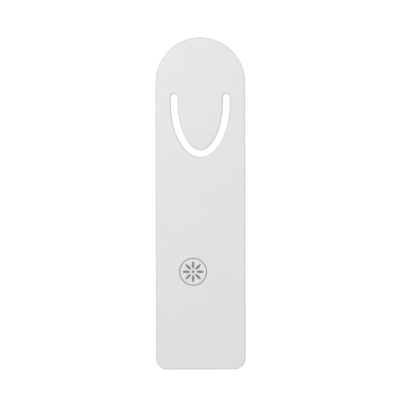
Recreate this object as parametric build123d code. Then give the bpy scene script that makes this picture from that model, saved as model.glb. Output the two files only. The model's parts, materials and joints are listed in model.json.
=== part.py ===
from build123d import *
import os
from math import asin, cos, degrees, radians

# A page-clip bookmark of bonded leatherette, lying on its back.
# X is its width, Y its length with the round head at +Y, and Z its thickness with the stamped front at +Z.
# The origin is under the middle of the sheet, on the surface that it lies on. Lengths are in millimetres.

# The sheet's outline
SHEET_WIDTH = 40.0
SHEET_LENGTH = 148.0
FOOT_CORNER_RADIUS = 5.0

# The bonded layers, from the back up
BACK_COVER_THICKNESS = 0.45
BACK_FILM_THICKNESS = 0.10
BOARD_THICKNESS = 0.40
FRONT_FILM_THICKNESS = 0.10
FRONT_COVER_THICKNESS = 0.45

# The edge coat, a rounded bead of paint along every cut edge
EDGE_COAT_WIDTH = 0.60
EDGE_COAT_ROUND = 0.50
EDGE_ROUND_LIMIT_SHARE = 0.9

# The slot that cuts the tongue free: two straight legs and a half ellipse, measured on its centreline.
# Off the centreline the legs grow by a share of the distance, which keeps the slot equally wide all round.
SLOT_SPAN = 23.25
SLOT_WIDTH = 2.90
SLOT_END_DROP = 26.65
SLOT_LEG_LENGTH = 2.30
SLOT_LEG_GROWTH_SHARE = 0.52
SLOT_BOW_DEPTH = 22.85

# The tongue's hinge, where its round root turns in a groove of the sheet, below the slot's round ends
HINGE_DROP = 3.0
HINGE_CLEARANCE = 0.05
TONGUE_LIFT_DEGREES = 40.0

# The rosette, foil pressed into the front cover
ROSETTE_OFFSET = -3.3
ROSETTE_HEIGHT = 43.5
ROSETTE_DIAMETER = 12.4
ROSETTE_RING_WIDTH = 0.45
ROSETTE_HUB_DIAMETER = 1.3
PETAL_COUNT = 8
PETAL_INNER_RADIUS = 1.2
PETAL_LENGTH = 3.7
PETAL_WIDTH = 1.25
STAMP_DEPTH = 0.12
FOIL_THICKNESS = 0.06

# How far a cutting shape runs past what it cuts, and how near an edge lies to the wall that it belongs to
CUT_OVERRUN = 2.0
WALL_TOLERANCE = 0.001

# Levels of the layers
BACK_FILM_LEVEL = BACK_COVER_THICKNESS
BOARD_LEVEL = BACK_FILM_LEVEL + BACK_FILM_THICKNESS
FRONT_FILM_LEVEL = BOARD_LEVEL + BOARD_THICKNESS
FRONT_COVER_LEVEL = FRONT_FILM_LEVEL + FRONT_FILM_THICKNESS
THICKNESS = FRONT_COVER_LEVEL + FRONT_COVER_THICKNESS
LAYERS = {
    "back_cover": (0, BACK_FILM_LEVEL),
    "back_adhesive_film": (BACK_FILM_LEVEL, BOARD_LEVEL),
    "stiffener_board": (BOARD_LEVEL, FRONT_FILM_LEVEL),
    "front_adhesive_film": (FRONT_FILM_LEVEL, FRONT_COVER_LEVEL),
    "front_cover": (FRONT_COVER_LEVEL, THICKNESS),
}

# Places along the sheet
HEAD_Y = SHEET_LENGTH / 2
FOOT_Y = -SHEET_LENGTH / 2
HEAD_CENTRE_Y = HEAD_Y - SHEET_WIDTH / 2
SLOT_END_Y = HEAD_Y - SLOT_END_DROP
BOW_Y = SLOT_END_Y - SLOT_LEG_LENGTH
HINGE_Y = SLOT_END_Y - HINGE_DROP

# The root turns about a line across the tongue at half its thickness
ROOT_RADIUS = THICKNESS / 2
GROOVE_RADIUS = ROOT_RADIUS + HINGE_CLEARANCE


def outline_edges(inset):
    """The sheet's outline, drawn in by an inset: a round head, straight sides and a round-cornered foot."""
    half_width = SHEET_WIDTH / 2 - inset
    corner = FOOT_CORNER_RADIUS - inset
    corner_x = half_width - corner
    foot_y = FOOT_Y + inset
    corner_y = foot_y + corner
    return [
        CenterArc((0, HEAD_CENTRE_Y), half_width, 0, 180),
        Line((-half_width, HEAD_CENTRE_Y), (-half_width, corner_y)),
        CenterArc((-corner_x, corner_y), corner, 180, 90),
        Line((-corner_x, foot_y), (corner_x, foot_y)),
        CenterArc((corner_x, corner_y), corner, 270, 90),
        Line((half_width, corner_y), (half_width, HEAD_CENTRE_Y)),
    ]


def slot_edges(offset):
    """One side of the slot's U, at an offset from its centreline, outwards positive."""
    leg_x = SLOT_SPAN / 2 + offset
    leg_growth = SLOT_LEG_GROWTH_SHARE * offset
    bow_y = BOW_Y - leg_growth
    bow_depth = SLOT_BOW_DEPTH + offset - leg_growth
    return [
        Line((-leg_x, SLOT_END_Y), (-leg_x, bow_y)),
        EllipticalCenterArc((0, bow_y), leg_x, bow_depth, 180, arc_size=180),
        Line((leg_x, bow_y), (leg_x, SLOT_END_Y)),
    ]


def slot_loop(inset):
    """The slot's whole edge, widened by an inset into the sheet: both sides and the two round ends."""
    half_width = SLOT_WIDTH / 2 + inset
    ends = [CenterArc((side * SLOT_SPAN / 2, SLOT_END_Y), half_width, 0, 180) for side in (-1, 1)]
    return slot_edges(half_width) + slot_edges(-half_width) + ends


def inside_slot(top_y):
    """The plan inside the slot's centreline, up to a height."""
    left_leg, bow, right_leg = slot_edges(0)
    inside = make_face([left_leg, bow, right_leg, Line(left_leg @ 0, right_leg @ 1)])
    return inside & Pos(0, top_y) * Rectangle(SHEET_WIDTH, SHEET_LENGTH, align=(Align.CENTER, Align.MAX))


def layer(face, bottom, top):
    """A flat layer of a plan between two levels."""
    return Pos(0, 0, bottom) * extrude(face, top - bottom)


def root_section(bottom, top):
    """A layer of the tongue seen from the side, running from the foot to its slice of the round root."""
    start, end = [degrees(asin((level - ROOT_RADIUS) / ROOT_RADIUS)) for level in (bottom, top)]
    low_y, high_y = [HINGE_Y + ROOT_RADIUS * cos(radians(angle)) for angle in (start, end)]
    section = make_face([
        Line((FOOT_Y, bottom), (low_y, bottom)),
        CenterArc((HINGE_Y, ROOT_RADIUS), ROOT_RADIUS, start, end - start),
        Line((high_y, top), (FOOT_Y, top)),
        Line((FOOT_Y, top), (FOOT_Y, bottom)),
    ])
    return extrude(Plane.YZ * section, SHEET_WIDTH / 2, both=True)


def tongue_face(face):
    """The tongue's share of a plan, with room above the hinge line for the round root."""
    return face & inside_slot(HINGE_Y + 2 * ROOT_RADIUS)


def tongue_layer(face, bottom, top):
    """The tongue's share of a layer: the plan inside the slot, its root rounded about the hinge line."""
    return layer(tongue_face(face), bottom - CUT_OVERRUN, top + CUT_OVERRUN) & root_section(bottom, top)


def sheet_layer(face, bottom, top):
    """The sheet's share of a layer: the plan without the tongue below the hinge line."""
    return layer(face - inside_slot(HINGE_Y), bottom, top)


def root_groove():
    """The room for the tongue's root: a round groove, bevelled at the front to let the tongue lift."""
    bottom = (HINGE_Y, ROOT_RADIUS - GROOVE_RADIUS)
    turn = CenterArc((HINGE_Y, ROOT_RADIUS), GROOVE_RADIUS, -90, 180 - TONGUE_LIFT_DEGREES)
    bevel_end = turn @ 1 + turn % 1 * CUT_OVERRUN
    far_y = HINGE_Y - CUT_OVERRUN
    section = make_face([
        turn,
        Line(turn @ 1, bevel_end),
        Line(bevel_end, (far_y, bevel_end.Y)),
        Line((far_y, bevel_end.Y), (far_y, bottom[1])),
        Line((far_y, bottom[1]), bottom),
    ])
    return extrude(Plane.YZ * section, SLOT_SPAN / 2, both=True)


def rounded(coat, wall_edges):
    """An edge coat with the edges along its outer wall rounded, as far as its width and thickness allow."""
    limit = EDGE_ROUND_LIMIT_SHARE * min(EDGE_COAT_WIDTH, THICKNESS / 2)
    wall = Curve(wall_edges)
    rims = []
    for edge in coat.edges().filter_by(Axis.Z, reverse=True):
        middle = edge @ 0.5
        if wall.distance_to((middle.X, middle.Y, 0)) < WALL_TOLERANCE:
            rims.append(edge)
    return fillet(rims, min(EDGE_COAT_ROUND, limit))


def petal():
    """One pointed leaf of the rosette, lying along X from the middle."""
    root = (PETAL_INNER_RADIUS, 0)
    tip = (PETAL_INNER_RADIUS + PETAL_LENGTH, 0)
    return make_face([SagittaArc(root, tip, PETAL_WIDTH / 2), SagittaArc(tip, root, PETAL_WIDTH / 2)])


def rosette_faces():
    """The separate flat shapes of the rosette: a ring, a hub and the petals around it."""
    outer_radius = ROSETTE_DIAMETER / 2
    ring = Circle(outer_radius) - Circle(outer_radius - ROSETTE_RING_WIDTH)
    hub = Circle(ROSETTE_HUB_DIAMETER / 2)
    petals = [Rot(0, 0, 360 * index / PETAL_COUNT) * petal() for index in range(PETAL_COUNT)]
    place = Pos(ROSETTE_OFFSET, FOOT_Y + ROSETTE_HEIGHT)
    return [place * face for face in [ring, hub] + petals]


def stamped(cover):
    """The front cover with the rosette's shapes pressed into its face."""
    floor = THICKNESS - STAMP_DEPTH
    for face in rosette_faces():
        cover -= layer(face, floor, THICKNESS + CUT_OVERRUN)
    return cover


def foil():
    """The foil on the floor of the stamped shapes."""
    floor = THICKNESS - STAMP_DEPTH
    return Compound(children=[layer(face, floor, floor + FOIL_THICKNESS) for face in rosette_faces()])


def cover_face():
    """The plan of every layer inside the edge coats, sheet and tongue together."""
    return make_face(outline_edges(EDGE_COAT_WIDTH)) - make_face(slot_loop(EDGE_COAT_WIDTH))


def slot_coat_face():
    """The plan of the edge coat all round the slot, on the sheet and on the tongue."""
    return make_face(slot_loop(EDGE_COAT_WIDTH)) - make_face(slot_loop(0))


def sheet_parts():
    """The sheet's layers and edge coats, with the groove for the tongue's root cut out of them."""
    groove = root_groove()
    face = cover_face()
    parts = {name: sheet_layer(face, bottom, top) - groove for name, (bottom, top) in LAYERS.items()}
    parts["front_cover"] = stamped(parts["front_cover"])

    outer_edges = outline_edges(0)
    outer_coat = layer(make_face(outer_edges) - make_face(outline_edges(EDGE_COAT_WIDTH)), 0, THICKNESS)
    parts["outer_edge_coat"] = rounded(outer_coat, outer_edges)

    slot_coat = sheet_layer(slot_coat_face(), 0, THICKNESS)
    parts["slot_edge_coat"] = rounded(slot_coat, slot_loop(0)) - groove

    parts["stamped_rosette"] = foil()
    return parts


def tongue_parts():
    """The tongue's layers and its edge coat, all ending in the round root."""
    face = cover_face()
    parts = {"tongue_" + name: tongue_layer(face, bottom, top) for name, (bottom, top) in LAYERS.items()}
    coat = rounded(layer(tongue_face(slot_coat_face()), 0, THICKNESS), slot_loop(0))
    parts["tongue_edge_coat"] = coat & root_section(0, THICKNESS)
    return parts


os.makedirs("parts", exist_ok=True)
for node, shape in (sheet_parts() | tongue_parts()).items():
    export_step(shape, f"parts/{node}.step")
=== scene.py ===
import json
from math import copysign, cos, pi, radians, sin, sqrt

import bmesh
import bpy
import numpy as np
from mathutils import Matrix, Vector
from mathutils.geometry import delaunay_2d_cdt


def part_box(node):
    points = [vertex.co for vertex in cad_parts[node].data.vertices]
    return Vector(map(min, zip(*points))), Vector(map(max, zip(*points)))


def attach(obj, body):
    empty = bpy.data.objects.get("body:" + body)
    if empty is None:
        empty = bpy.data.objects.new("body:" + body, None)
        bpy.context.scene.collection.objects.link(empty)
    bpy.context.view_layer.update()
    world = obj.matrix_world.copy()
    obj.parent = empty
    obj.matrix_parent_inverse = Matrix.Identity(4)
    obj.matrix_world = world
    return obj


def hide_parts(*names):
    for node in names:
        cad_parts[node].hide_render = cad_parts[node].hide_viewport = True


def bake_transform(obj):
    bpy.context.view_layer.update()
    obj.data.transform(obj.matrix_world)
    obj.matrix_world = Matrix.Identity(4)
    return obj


# The looks of a page-clip bookmark of bonded leatherette, lying on its back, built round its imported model.
# X is its width, Y its length with the round head at +Y, and Z its thickness. Lengths are in metres.

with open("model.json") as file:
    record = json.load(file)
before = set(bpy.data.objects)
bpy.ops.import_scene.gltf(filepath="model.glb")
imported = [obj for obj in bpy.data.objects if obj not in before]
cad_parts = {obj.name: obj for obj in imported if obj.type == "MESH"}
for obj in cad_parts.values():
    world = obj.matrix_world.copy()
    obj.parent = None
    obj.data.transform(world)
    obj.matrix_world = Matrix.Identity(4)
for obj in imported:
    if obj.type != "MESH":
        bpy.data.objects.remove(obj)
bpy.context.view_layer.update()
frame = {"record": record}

# Sizes that the frame gives
coat_low, coat_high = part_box("outer_edge_coat")
_, cover_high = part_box("front_cover")
slot_low, slot_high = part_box("slot_edge_coat")
tongue_low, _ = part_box("tongue_edge_coat")
foil_low, foil_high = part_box("stamped_rosette")

HALF_WIDTH = coat_high.x
HEAD_Y = coat_high.y
FOOT_Y = coat_low.y
HEAD_CENTRE_Y = HEAD_Y - HALF_WIDTH
THICKNESS = coat_high.z
COAT_WIDTH = coat_high.x - cover_high.x
SLOT_WIDTH = tongue_low.y - slot_low.y - COAT_WIDTH
SLOT_SPAN = slot_high.x - slot_low.x - SLOT_WIDTH - 2 * COAT_WIDTH
ROOT_Y = slot_high.y - COAT_WIDTH - SLOT_WIDTH / 2

# Sizes that the boxes of the frame don't show
FOOT_CORNER_RADIUS = 0.005
SLOT_LEG_LENGTH = 0.0023
BOW_Y = ROOT_Y - SLOT_LEG_LENGTH
BOW_DEPTH = BOW_Y - tongue_low.y + SLOT_WIDTH / 2

# Off the slot's centreline its legs grow by this share of the distance, which keeps its width even
SLOT_LEG_GROWTH_SHARE = 0.52

# The edge coat's section: a half ellipse at a fullness of 2, and squarer at a higher one
COAT_FULLNESS = 2.5

# The covers roll down a little where they meet the edge coat, most steeply at the edge itself
ROLL_WIDTH = 0.00055
ROLL_DEPTH = 0.000035
ROLL_POWER = 3

# The rosette's shapes, and how its edges are pressed in
ROSETTE_RADIUS = (foil_high.x - foil_low.x) / 2
ROSETTE_CENTRE = ((foil_high + foil_low) / 2).xy
RING_WIDTH = 0.00045
HUB_RADIUS = 0.00065
PETAL_COUNT = 8
PETAL_INNER_RADIUS = 0.0012
PETAL_LENGTH = 0.0037
PETAL_HALF_WIDTH = 0.000625
STAMP_DEPTH = THICKNESS - foil_low.z
LIP_WIDTH = 0.00012
LIP_DEPTH = 0.00002
STAMP_WALL_RUN = 0.00004
FOIL_EASE = 0.00003

# How finely the meshes are divided
HEAD_STEPS = 96
SIDE_STEPS = 60
CORNER_STEPS = 16
FOOT_STEPS = 15
LEG_STEPS = 4
BOW_STEPS = 96
END_STEPS = 16
COAT_STEPS = 16
ROLL_STEPS = 5
LIP_STEPS = 2
PETAL_STEPS = 14
CIRCLE_STEPS = 96
SHEET_GRID = 0.002
TONGUE_GRID = 0.00075
SHARP_ANGLE = radians(40)

# Plans are triangulated in millimetres, where points closer than this are one
MILLIMETRES = 1000
MERGE_DISTANCE = 1e-4


# Paths in the plan

def run(start, end, steps):
    """Evenly spaced points along a straight line, without its end."""
    start, end = Vector(start), Vector(end)
    return [tuple(start.lerp(end, step / steps)) for step in range(steps)]


def arc(centre, radii, start, end, steps):
    """Points along an elliptical arc between two angles in degrees, without its end."""
    angles = [radians(start + (end - start) * step / steps) for step in range(steps)]
    return [(centre[0] + radii[0] * cos(angle), centre[1] + radii[1] * sin(angle)) for angle in angles]


def outline(inset):
    """The sheet's outline, drawn in by an inset: a round head, straight sides and a round-cornered foot."""
    half_width = HALF_WIDTH - inset
    corner = FOOT_CORNER_RADIUS - inset
    corner_x = half_width - corner
    foot_y = FOOT_Y + inset
    corner_y = foot_y + corner
    return (
        arc((0, HEAD_CENTRE_Y), (half_width, half_width), 0, 180, HEAD_STEPS)
        + run((-half_width, HEAD_CENTRE_Y), (-half_width, corner_y), SIDE_STEPS)
        + arc((-corner_x, corner_y), (corner, corner), 180, 270, CORNER_STEPS)
        + run((-corner_x, foot_y), (corner_x, foot_y), FOOT_STEPS)
        + arc((corner_x, corner_y), (corner, corner), 270, 360, CORNER_STEPS)
        + run((half_width, corner_y), (half_width, HEAD_CENTRE_Y), SIDE_STEPS)
    )


def slot_side(offset):
    """One side of the slot's U, at an offset from its centreline, outwards positive, from left to right."""
    leg_x = SLOT_SPAN / 2 + offset
    leg_growth = SLOT_LEG_GROWTH_SHARE * offset
    bow_y = BOW_Y - leg_growth
    return (
        run((-leg_x, ROOT_Y), (-leg_x, bow_y), LEG_STEPS)
        + arc((0, bow_y), (leg_x, BOW_DEPTH + offset - leg_growth), 180, 360, BOW_STEPS)
        + run((leg_x, bow_y), (leg_x, ROOT_Y), LEG_STEPS)
        + [(leg_x, ROOT_Y)]
    )


def sheet_slot_edge(inset):
    """The sheet's edge of the slot, from root to root: a round end, the outer side and the other end."""
    half = SLOT_WIDTH / 2 + inset
    left_end, right_end = [
        arc((side * SLOT_SPAN / 2, ROOT_Y), (half, half), 0, 180, END_STEPS) for side in (-1, 1)
    ]
    return left_end + slot_side(half)[:-1] + right_end + [(SLOT_SPAN / 2 - half, ROOT_Y)]


def tongue_edge(inset):
    """The tongue's edge of the slot, from root to root."""
    return slot_side(-SLOT_WIDTH / 2 - inset)


def petal(offset, turn):
    """One pointed leaf of the rosette, grown by an offset and turned about the rosette's middle."""
    radius = ((PETAL_LENGTH / 2) ** 2 + PETAL_HALF_WIDTH ** 2) / (2 * PETAL_HALF_WIDTH)
    centre_drop = radius - PETAL_HALF_WIDTH
    half_length = sqrt((radius + offset) ** 2 - centre_drop ** 2)
    middle = PETAL_INNER_RADIUS + PETAL_LENGTH / 2
    leaf = []
    for side in (-1, 1):
        for step in range(PETAL_STEPS):
            along = side * half_length * cos(pi * step / PETAL_STEPS)
            across = sqrt((radius + offset) ** 2 - along ** 2) - centre_drop
            leaf.append((middle + along, side * across))
    along_turn = Vector((cos(turn), sin(turn)))
    across_turn = Vector((-sin(turn), cos(turn)))
    return [tuple(ROSETTE_CENTRE + x * along_turn + y * across_turn) for x, y in leaf]


def circle(radius):
    """A circle about the rosette's middle."""
    return arc(ROSETTE_CENTRE, (radius, radius), 0, 360, CIRCLE_STEPS)


def rosette(offset):
    """The outlines of the rosette's shapes, grown by an offset: the ring's sides, the hub and the petals."""
    radii = [ROSETTE_RADIUS + offset, ROSETTE_RADIUS - RING_WIDTH - offset, HUB_RADIUS + offset]
    turns = [2 * pi * index / PETAL_COUNT for index in range(PETAL_COUNT)]
    return [circle(radius) for radius in radii] + [petal(offset, turn) for turn in turns]


# Plans and the closed layers made from them

def inside(points, loops):
    """Which points lie inside an odd number of closed loops, by the edges to the right of each point."""
    x, y = np.array(points).T[:, :, None]
    edges_passed = np.zeros(len(points), int)
    for loop in loops:
        x0, y0 = np.array(loop).T
        x1, y1 = np.roll(x0, -1), np.roll(y0, -1)
        rise = np.where(y0 == y1, 1, y1 - y0)
        passed = ((y0 > y) != (y1 > y)) & (x < x0 + (y - y0) * (x1 - x0) / rise)
        edges_passed += passed.sum(axis=1)
    return edges_passed % 2 == 1


class Plan:
    """Rails and points in the plan, each sunk some way below the face, and the loops that bound them."""

    def __init__(self, bounds):
        self.bounds = bounds
        self.points = []
        self.sinks = []
        self.edges = []

    def scatter(self, points, sink):
        """Adds loose points, all sunk alike."""
        self.points += points
        self.sinks += [sink] * len(points)

    def rail(self, points, sink, closed):
        """Adds a line of points, all sunk alike, which the triangles' sides keep to."""
        first = len(self.points)
        self.scatter(points, sink)
        last = len(self.points) - 1
        self.edges += [(index, index + 1) for index in range(first, last)]
        if closed:
            self.edges.append((last, first))

    def triangles(self):
        """The plan's points and sinks, joined where they coincide, and the triangles within its bounds."""
        flat = [Vector(point) * MILLIMETRES for point in self.points]
        joined, _, faces, sources, _, _ = delaunay_2d_cdt(flat, self.edges, [], 0, MERGE_DISTANCE)
        points = np.array(joined) / MILLIMETRES
        sinks = [max(self.sinks[index] for index in source) for source in sources]
        faces = np.array(faces)
        return points, sinks, faces[inside(points[faces].mean(axis=1), self.bounds)]


def root_line(rolls, step):
    """Points along the line where the tongue grows out of the sheet, with one on each rail of its rolls."""
    end_x = SLOT_SPAN / 2 - SLOT_WIDTH / 2 - COAT_WIDTH
    roll_ends = [end_x - inset for inset, _ in rolls]
    inner_count = int((roll_ends[-1] - step / 2) / step)
    places = [step * index for index in range(-inner_count, inner_count + 1)]
    return [(x, ROOT_Y) for x in [-x for x in roll_ends] + places + roll_ends[::-1]]


def grid(step):
    """A square grid of points over the whole sheet, half a step off the root line."""
    columns = int(HALF_WIDTH / step)
    rows = int((HEAD_Y - FOOT_Y) / step)
    return [
        (step * column, ROOT_Y + step * (row + 0.5))
        for column in range(-columns, columns + 1)
        for row in range(-rows, rows + 1)
    ]


def layer_plan(edges, rolls, step, kept_clear=()):
    """The plan of a layer inside its edge coats, from its edges and whether each is a closed loop."""
    plan = Plan([edge(COAT_WIDTH) for edge, _ in edges])
    for inset, sink in rolls:
        for edge, closed in edges:
            plan.rail(edge(COAT_WIDTH + inset), sink, closed)
    plan.rail(root_line(rolls, step), 0, False)
    clear_inset = COAT_WIDTH + rolls[-1][0] + step / 2
    places = grid(step)
    kept = inside(places, [edge(clear_inset) for edge, _ in edges] + list(kept_clear))
    plan.scatter([place for place, keep in zip(places, kept) if keep], 0)
    return plan


def new_piece(name, vertices, faces):
    """A closed mesh object, its faces turned outwards and smooth except where they meet at a sharp angle."""
    mesh = bpy.data.meshes.new(name)
    mesh.from_pydata([tuple(vertex) for vertex in vertices], [], [list(face) for face in faces])
    shape = bmesh.new()
    shape.from_mesh(mesh)
    bmesh.ops.recalc_face_normals(shape, faces=shape.faces)
    shape.to_mesh(mesh)
    shape.free()
    mesh.shade_smooth()
    mesh.set_sharp_from_angle(angle=SHARP_ANGLE)
    piece = bpy.data.objects.new(name, mesh)
    bpy.context.scene.collection.objects.link(piece)
    return piece


def layer(name, plan, low, high, sunk_face):
    """A closed layer of a plan between two levels, its rails sunk on the front, the back or neither."""
    points, sinks, triangles = plan.triangles()
    count = len(points)
    lows = [low + (sink if sunk_face == "back" else 0) for sink in sinks]
    highs = [high - (sink if sunk_face == "front" else 0) for sink in sinks]
    vertices = [(x, y, z) for levels in (highs, lows) for (x, y), z in zip(points, levels)]
    faces = [tuple(face) for face in triangles] + [tuple(face[::-1] + count) for face in triangles]
    sides = {(a, b) for face in triangles for a, b in zip(face, np.roll(face, -1))}
    faces += [(b, a, a + count, b + count) for a, b in sides if (b, a) not in sides]
    return new_piece(name, vertices, faces)


# The pieces

def coat_section():
    """The edge coat's section, from the bottom to the top, as insets from the edge and levels."""
    section = []
    for step in range(COAT_STEPS + 1):
        angle = pi * (step / COAT_STEPS - 0.5)
        bulge = abs(cos(angle)) ** (2 / COAT_FULLNESS)
        rise = copysign(abs(sin(angle)) ** (2 / COAT_FULLNESS), angle)
        section.append((COAT_WIDTH * (1 - bulge), THICKNESS / 2 * (1 + rise)))
    return section


def edge_coat(name, edge, closed):
    """A bead of edge paint along an edge, with a flat end at each root where the edge isn't a loop."""
    rails = [[(x, y, z) for x, y in edge(inset)] for inset, z in coat_section()]
    count = len(rails[0])
    rail_starts = [index * count for index in range(len(rails))]
    faces = []
    for low, high in zip(rail_starts, rail_starts[1:] + rail_starts[:1]):
        for place in range(count if closed else count - 1):
            after = (place + 1) % count
            faces.append((low + place, low + after, high + after, high + place))
    if not closed:
        faces += [rail_starts, [start + count - 1 for start in rail_starts]]
    return new_piece(name, [vertex for rail in rails for vertex in rail], faces)


def rolled_edge(width, depth, steps):
    """The rails of an edge that rolls down, from the edge into the face, as insets and sinks."""
    shares = [step / steps for step in range(steps + 1)]
    return [(width * share, depth * (1 - share) ** ROLL_POWER) for share in shares]


def stamp(plan):
    """Presses the rosette into a plan: a soft lip, a steep wall and a flat floor."""
    lip = rolled_edge(LIP_WIDTH, LIP_DEPTH, LIP_STEPS)
    for offset, sink in lip + [(-STAMP_WALL_RUN, STAMP_DEPTH)]:
        for loop in rosette(offset):
            plan.rail(loop, sink, True)


def foil_plan():
    """The plan of the foil on the floor of the stamped rosette, its edges eased."""
    plan = Plan(rosette(-STAMP_WALL_RUN))
    for inset, sink in ((0, FOIL_EASE), (FOIL_EASE, 0)):
        for loop in rosette(-STAMP_WALL_RUN - inset):
            plan.rail(loop, sink, True)
    return plan


# The edges of a layer, and whether each is a closed loop
SHEET_EDGES = [(outline, True), (sheet_slot_edge, False)]
TONGUE_EDGES = [(tongue_edge, False)]

# The one rail of an edge that doesn't roll down, and the face of each layer whose edges do
PLAIN_EDGE = [(0, 0)]
SUNK_FACES = {
    "front_cover": "front",
    "front_adhesive_film": None,
    "stiffener_board": None,
    "back_adhesive_film": None,
    "back_cover": "back",
}


def layer_piece(node, layer_name, edges, step):
    """One bonded layer of the sheet or the tongue, in place of its node."""
    sunk_face = SUNK_FACES[layer_name]
    rolls = rolled_edge(ROLL_WIDTH, ROLL_DEPTH, ROLL_STEPS) if sunk_face else PLAIN_EDGE
    stamped = node == "front_cover"
    plan = layer_plan(edges, rolls, step, [circle(ROSETTE_RADIUS + step)] if stamped else [])
    if stamped:
        stamp(plan)
    low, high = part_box(node)
    return layer(node + "_mesh", plan, low.z, high.z, sunk_face)


def make_pieces():
    """Every piece of the bookmark, by the node that it stands for."""
    pieces = {}
    for layer_name in SUNK_FACES:
        tongue_node = "tongue_" + layer_name
        pieces[layer_name] = layer_piece(layer_name, layer_name, SHEET_EDGES, SHEET_GRID)
        pieces[tongue_node] = layer_piece(tongue_node, layer_name, TONGUE_EDGES, TONGUE_GRID)
    pieces["outer_edge_coat"] = edge_coat("outer_edge_coat_mesh", outline, True)
    pieces["slot_edge_coat"] = edge_coat("slot_edge_coat_mesh", sheet_slot_edge, False)
    pieces["tongue_edge_coat"] = edge_coat("tongue_edge_coat_mesh", tongue_edge, False)
    pieces["stamped_rosette"] = layer("stamped_rosette_mesh", foil_plan(), foil_low.z, foil_high.z, "front")
    return pieces


# Materials, which take their grain from places on the object

# A cloudy pattern: the range that nearly all its values lie in, and how many finer layers it has
CLOUD_SHARES = (0.3, 0.7)
CLOUD_DETAIL = 4

# The leatherette's grain: packed pebbles that rise out of narrow creases to flat tops, over a share
# of their size, and faint clouds of tone; the colour is darker in the creases, which is painted shade
PEBBLE_SIZE = 0.0005
PEBBLE_WAVER = 0.00012
PEBBLE_RISE_SHARE = 0.22
PEBBLE_HEIGHT = 0.00004
LEATHER_CLOUD_SIZE = 0.012
LEATHER_CLOUD_SHARE = 0.3
LEATHER_TONES_AND_CREASE_SHADE = (0.798, 0.824)
LEATHER_ROUGHNESS = (0.66, 0.5)

# The lining's nap: short fibres brushed along the sheet, in patches that lie a little differently
NAP_SIZE = 0.0003
NAP_STRETCH = (1, 0.35, 1)
NAP_HEIGHT = 0.00005
NAP_PATCH_SIZE = 0.004
NAP_PATCH_SHARE = 0.35
LINING_TONES = (0.66, 0.77)
LINING_ROUGHNESS = (0.75, 0.92)
LINING_SHEEN = 0.25

# The edge paint's fine orange peel, and how its tone drifts along the edge; its tones are greyer than the
# face's, partly the paint's own tone and partly painted shade of the rounded rim
PAINT_PEEL_SIZE = 0.0005
PAINT_PEEL_HEIGHT = 0.000018
PAINT_DRIFT_SIZE = 0.005
PAINT_TONES_AND_RIM_SHADE = (0.69, 0.735)
PAINT_ROUGHNESS = (0.34, 0.46)

# The foil's speckle, where it is thin over the pebbles
SPECKLE_SIZE = 0.00012
SPECKLE_SHARE = 0.5
FOIL_TONES = (0.15, 0.24)
FOIL_ROUGHNESS = (0.32, 0.5)
FOIL_PEBBLE_HEIGHT = 0.00001

# The board's fibres and the adhesive's ripples
FIBRE_SIZE = 0.0002
FIBRE_STRETCH = (1, 0.08, 1)
FIBRE_HEIGHT = 0.00001
BOARD_COLOURS = ((0.55, 0.51, 0.43), (0.68, 0.64, 0.56))
BOARD_ROUGHNESS = (0.8, 0.95)
RIPPLE_SIZE = 0.002
RIPPLE_HEIGHT = 0.000004
ADHESIVE_COLOURS = ((0.72, 0.69, 0.56), (0.78, 0.75, 0.64))
ADHESIVE_ROUGHNESS = (0.25, 0.4)


def grey(tone):
    """A colour of one tone in red, green and blue."""
    return (tone, tone, tone)


def new_node(tree, kind, inputs, **settings):
    """A shader node with its settings made and its inputs linked or set."""
    node = tree.nodes.new(kind)
    for setting, value in settings.items():
        setattr(node, setting, value)
    for socket, value in inputs.items():
        if isinstance(value, bpy.types.NodeSocket):
            tree.links.new(value, node.inputs[socket])
        else:
            node.inputs[socket].default_value = value
    return node


def spread(tree, value, source, target, **settings):
    """A value taken from one range to another, evenly unless a setting says otherwise."""
    inputs = {"Value": value}
    inputs |= zip(("From Min", "From Max", "To Min", "To Max"), (*source, *target))
    return new_node(tree, "ShaderNodeMapRange", inputs, **settings).outputs["Result"]


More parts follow.
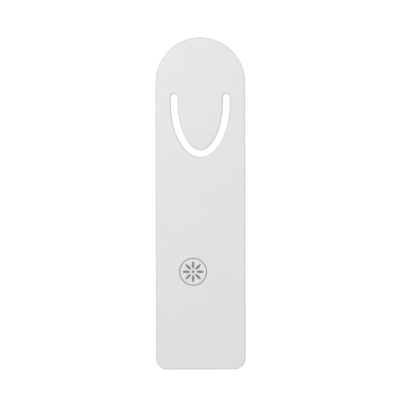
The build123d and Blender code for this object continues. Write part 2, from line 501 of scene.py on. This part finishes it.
class Finish:
    """A material and the few node links that every finish here is made of. Its patterns go from 0 to 1."""

    def __init__(self, name):
        self.material = bpy.data.materials.new(name)
        self.material.use_nodes = True
        self.tree = self.material.node_tree
        self.shader = self.tree.nodes["Principled BSDF"]
        self.places = self.tree.nodes.new("ShaderNodeTexCoord").outputs["Object"]

    def node(self, kind, inputs, **settings):
        return new_node(self.tree, kind, inputs, **settings)

    def clouds(self, size, stretch=(1, 1, 1)):
        """A cloudy pattern with clouds of a given size, stretched along an axis if asked."""
        scale = [share / size for share in stretch]
        mapped = self.node("ShaderNodeMapping", {"Vector": self.places, "Scale": scale})
        inputs = {"Vector": mapped.outputs["Vector"], "Scale": 1, "Detail": CLOUD_DETAIL}
        noise = self.node("ShaderNodeTexNoise", inputs).outputs["Fac"]
        return spread(self.tree, noise, CLOUD_SHARES, (0, 1))

    def pebbles(self):
        """Irregular pebbles in the plan, 0 in the creases between them and 1 on top."""
        drift = self.node("ShaderNodeTexNoise", {"Vector": self.places, "Scale": 1 / PEBBLE_SIZE})
        waver = {0: drift.outputs["Color"], 1: [PEBBLE_WAVER] * 3, 2: self.places}
        wavered = self.node("ShaderNodeVectorMath", waver, operation="MULTIPLY_ADD").outputs["Vector"]
        cells = {"Vector": wavered, "Scale": 1 / PEBBLE_SIZE}
        settings = {"voronoi_dimensions": "2D", "feature": "DISTANCE_TO_EDGE"}
        rise = self.node("ShaderNodeTexVoronoi", cells, **settings).outputs["Distance"]
        return spread(self.tree, rise, (0, PEBBLE_RISE_SHARE), (0, 1), interpolation_type="SMOOTHSTEP")

    def mixed(self, first, second, second_share):
        """Two patterns added up, the second one with a given share."""
        lesser = spread(self.tree, second, (0, 1), (0, second_share))
        inputs = {0: first, 1: 1 - second_share, 2: lesser}
        return self.node("ShaderNodeMath", inputs, operation="MULTIPLY_ADD").outputs["Value"]

    def colour(self, pattern, colours):
        """A base colour that goes from the first to the second of two colours with a pattern."""
        ramp = self.node("ShaderNodeValToRGB", {"Fac": pattern})
        for stop, colour in zip(ramp.color_ramp.elements, colours):
            stop.color = (*colour, 1)
        self.tree.links.new(ramp.outputs["Color"], self.shader.inputs["Base Color"])

    def roughness(self, pattern, ends):
        """A roughness that goes from the first to the second of two values with a pattern."""
        self.tree.links.new(spread(self.tree, pattern, (0, 1), ends), self.shader.inputs["Roughness"])

    def bump(self, pattern, height):
        """A relief of a given height, raised where the pattern is 1."""
        raised = self.node("ShaderNodeBump", {"Height": pattern, "Distance": height})
        self.tree.links.new(raised.outputs["Normal"], self.shader.inputs["Normal"])


def leatherette():
    """White coated leatherette, matt and finely pebbled, with painted shade that darkens its creases."""
    finish = Finish("white_leatherette")
    pebbles = finish.pebbles()
    crease_shade_and_clouds = finish.mixed(pebbles, finish.clouds(LEATHER_CLOUD_SIZE), LEATHER_CLOUD_SHARE)
    # The colour is darker in the creases between the pebbles, which is painted shade, and varies in faint
    # clouds of tone
    finish.colour(crease_shade_and_clouds, map(grey, LEATHER_TONES_AND_CREASE_SHADE))
    finish.roughness(pebbles, LEATHER_ROUGHNESS)
    finish.bump(pebbles, PEBBLE_HEIGHT)
    return finish.material


def lining():
    """The soft white back lining, with a short brushed nap."""
    finish = Finish("white_lining")
    nap = finish.clouds(NAP_SIZE, NAP_STRETCH)
    patched = finish.mixed(nap, finish.clouds(NAP_PATCH_SIZE), NAP_PATCH_SHARE)
    finish.colour(patched, map(grey, LINING_TONES))
    finish.roughness(nap, LINING_ROUGHNESS)
    finish.bump(nap, NAP_HEIGHT)
    finish.shader.inputs["Sheen Weight"].default_value = LINING_SHEEN
    return finish.material


def edge_paint():
    """Satin edge paint, a little uneven along its length, and greyer than the face: partly its own tone,
    partly painted shade of the rounded rim.
    """
    finish = Finish("edge_paint")
    peel = finish.clouds(PAINT_PEEL_SIZE)
    # Greyer than the face: partly the paint's own tone, partly painted shade of the rounded rim
    finish.colour(finish.clouds(PAINT_DRIFT_SIZE), map(grey, PAINT_TONES_AND_RIM_SHADE))
    finish.roughness(peel, PAINT_ROUGHNESS)
    finish.bump(peel, PAINT_PEEL_HEIGHT)
    return finish.material


def foil():
    """Grey pigment foil, speckled where it is pressed over the pebbles."""
    finish = Finish("grey_foil")
    pebbles = finish.pebbles()
    speckled = finish.mixed(pebbles, finish.clouds(SPECKLE_SIZE), SPECKLE_SHARE)
    finish.colour(speckled, map(grey, FOIL_TONES))
    finish.roughness(speckled, FOIL_ROUGHNESS)
    finish.bump(pebbles, FOIL_PEBBLE_HEIGHT)
    return finish.material


def board():
    """Fibre board, with fibres lying along the sheet."""
    finish = Finish("stiffener")
    fibres = finish.clouds(FIBRE_SIZE, FIBRE_STRETCH)
    finish.colour(fibres, BOARD_COLOURS)
    finish.roughness(fibres, BOARD_ROUGHNESS)
    finish.bump(fibres, FIBRE_HEIGHT)
    return finish.material


def adhesive():
    """A yellowish film of adhesive, slightly rippled."""
    finish = Finish("adhesive")
    ripples = finish.clouds(RIPPLE_SIZE)
    finish.colour(ripples, ADHESIVE_COLOURS)
    finish.roughness(ripples, ADHESIVE_ROUGHNESS)
    finish.bump(ripples, RIPPLE_HEIGHT)
    return finish.material


MATERIALS = {
    "white_leatherette": leatherette(),
    "white_lining": lining(),
    "edge_paint": edge_paint(),
    "grey_foil": foil(),
    "stiffener": board(),
    "adhesive": adhesive(),
}


# Dressing the frame

def dress(piece, node, slot):
    """Gives a piece its material and hides its node; the sheet's pieces go on the sheet's body, and the
    tongue's pieces have their place baked into their mesh.
    """
    piece.data.materials.append(MATERIALS[slot])
    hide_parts(node)
    if node.startswith("tongue_"):
        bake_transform(piece)
    else:
        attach(piece, "sheet")


slots = {part["node"]: part["material_slot"] for part in frame["record"]["subparts"]}
for node, piece in make_pieces().items():
    dress(piece, node, slots[node])


# Stage: a pale floor, a white surround, two lights and the camera

# The floor, a hair below the bookmark, and its glow for the camera
FLOOR_HALF_SIZE = 4.0
FLOOR_DROP = 0.00002
FLOOR_TONE = 0.86
FLOOR_GLOW = 0.35

# What each light gives on a flat face that looks up: at 1 in all, a colour shows as it is written
SURROUND_LEVEL = 0.40
OVERHEAD_LEVEL = 0.403
KEY_LEVEL = 0.13

# How broad the light overhead is, and where the key light stands at the upper left and what it faces
OVERHEAD_BREADTH = radians(50)
KEY_PLACE = Vector((-0.2, 0.2, 0.4))
KEY_AIM = Vector((-0.33, 0.33, 0))
KEY_SIZE = 0.2

# The camera, and the part of the plane at half the sheet's thickness that it takes in
CAMERA_LENS_MM = 100
CAMERA_SENSOR_MM = 36
VIEW_HEIGHT = 0.1858
VIEW_CENTRE_X = -0.00018
VIEW_CENTRE_Y = -0.00234
VIEW_TURN = radians(-0.125)


def seen_level(tree, level, seen):
    """One level for the light that falls on things, and another for what the camera sees,
    straight, in a gloss or through a clear surface."""
    path = tree.nodes.new("ShaderNodeLightPath")
    ray = path.outputs["Is Camera Ray"]
    for way in ("Is Glossy Ray", "Is Transmission Ray"):
        inputs = {0: ray, 1: path.outputs[way]}
        ray = new_node(tree, "ShaderNodeMath", inputs, operation="MAXIMUM").outputs["Value"]
    return spread(tree, ray, (0, 1), (level, seen))


def floor_material():
    """Matt and pale, with a glow that only the camera sees, so that it is white and keeps the shadow."""
    material = bpy.data.materials.new("floor")
    material.use_nodes = True
    tree = material.node_tree
    shader = tree.nodes["Principled BSDF"]
    shader.inputs["Base Color"].default_value = (*grey(FLOOR_TONE), 1)
    shader.inputs["Roughness"].default_value = 1
    shader.inputs["Specular IOR Level"].default_value = 0
    shader.inputs["Emission Color"].default_value = (*grey(1), 1)
    tree.links.new(seen_level(tree, 0, FLOOR_GLOW), shader.inputs["Emission Strength"])
    return material


def make_floor():
    """A square floor, which isn't part of the bookmark."""
    quarters = ((-1, -1), (1, -1), (1, 1), (-1, 1))
    corners = [(x * FLOOR_HALF_SIZE, y * FLOOR_HALF_SIZE, -FLOOR_DROP) for x, y in quarters]
    mesh = bpy.data.meshes.new("floor")
    mesh.from_pydata(corners, [], [range(len(corners))])
    mesh.materials.append(floor_material())
    floor = bpy.data.objects.new("floor", mesh)
    bpy.context.scene.collection.objects.link(floor)


def make_surround():
    """An even white world, at a plain level for the object and as pale as the far floor for the camera."""
    world = bpy.data.worlds.new("surround")
    world.use_nodes = True
    tree = world.node_tree
    background = tree.nodes["Background"]
    background.inputs["Color"].default_value = (*grey(1), 1)
    far_floor_level = FLOOR_TONE * (SURROUND_LEVEL + OVERHEAD_LEVEL) + FLOOR_GLOW
    tree.links.new(seen_level(tree, SURROUND_LEVEL, far_floor_level), background.inputs["Strength"])
    bpy.context.scene.world = world


def make_key_light():
    """A square soft box aimed past the head, so that its light falls off towards the foot.
    It is as strong as gives its level on a flat face at the origin."""
    aim = (KEY_AIM - KEY_PLACE).normalized()
    reach = aim.dot(-KEY_PLACE) * KEY_PLACE.z / KEY_PLACE.length ** 4
    lamp = bpy.data.lights.new("key", "AREA")
    lamp.size = KEY_SIZE
    lamp.energy = KEY_LEVEL * pi ** 2 / reach
    key = bpy.data.objects.new("key", lamp)
    key.location = KEY_PLACE
    key.visible_camera = False
    key.rotation_euler = (-aim).to_track_quat("Z", "Y").to_euler()
    bpy.context.scene.collection.objects.link(key)


def make_overhead_light():
    """A broad distant light from straight above, even over the whole floor."""
    lamp = bpy.data.lights.new("overhead", "SUN")
    lamp.angle = OVERHEAD_BREADTH
    lamp.energy = OVERHEAD_LEVEL * pi
    bpy.context.scene.collection.objects.link(bpy.data.objects.new("overhead", lamp))


def make_camera():
    """Straight above, with the picture's long side as high as the view at half the sheet's thickness."""
    lens = bpy.data.cameras.new("camera")
    lens.lens = CAMERA_LENS_MM
    lens.sensor_width = CAMERA_SENSOR_MM
    camera = bpy.data.objects.new("camera", lens)
    height = VIEW_HEIGHT * CAMERA_LENS_MM / CAMERA_SENSOR_MM
    camera.location = (VIEW_CENTRE_X, VIEW_CENTRE_Y, THICKNESS / 2 + height)
    camera.rotation_euler = (0, 0, VIEW_TURN)
    bpy.context.scene.collection.objects.link(camera)
    bpy.context.scene.camera = camera


make_floor()
make_surround()
make_key_light()
make_overhead_light()
make_camera()
bpy.context.scene.view_settings.view_transform = "Standard"
